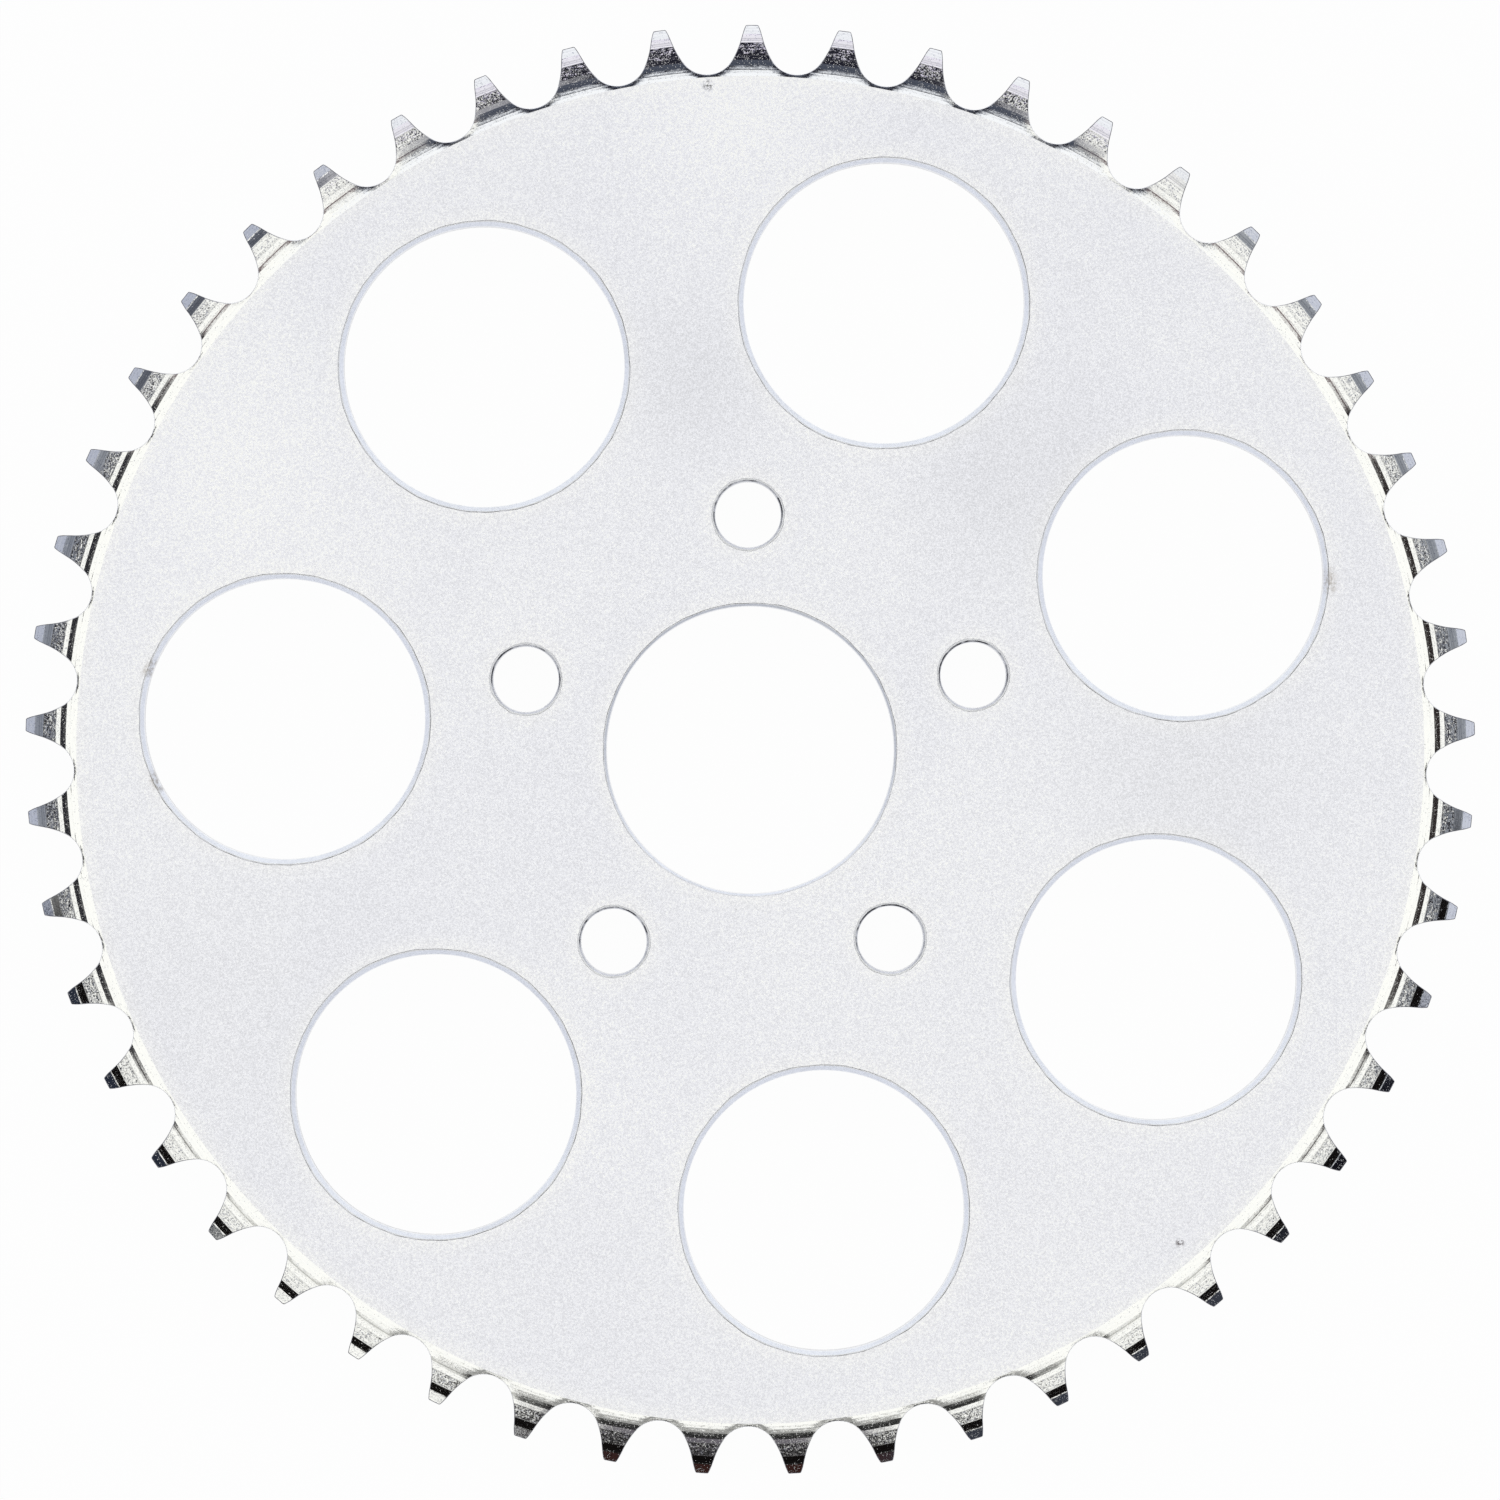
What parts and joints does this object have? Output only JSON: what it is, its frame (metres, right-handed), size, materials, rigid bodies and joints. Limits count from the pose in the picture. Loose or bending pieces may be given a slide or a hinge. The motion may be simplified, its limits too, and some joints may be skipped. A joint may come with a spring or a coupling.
{
  "type": "motorcycle rear sprocket",
  "caption": "Flat one-piece rear chain sprocket with bevelled roller-chain teeth, a pilot bore, a bolt circle and round lightening windows, zinc plated.",
  "frame": {"origin": "centre of the pilot bore at the plate's back face", "axes": "+Z along the bore axis, out of the outer face; the plate lies flat on its back face in the XY plane, with one tooth centred on +Y"},
  "size_m": [0.2544, 0.2543, 0.0087],
  "materials": {
    "zinc_plated_steel": "bright zinc plate, satin and fine-grained on the faces, glossy on the turned bevels"
  },
  "bodies": {
    "root": {"sprocket_plate": "zinc_plated_steel"}
  },
  "joints": []
}
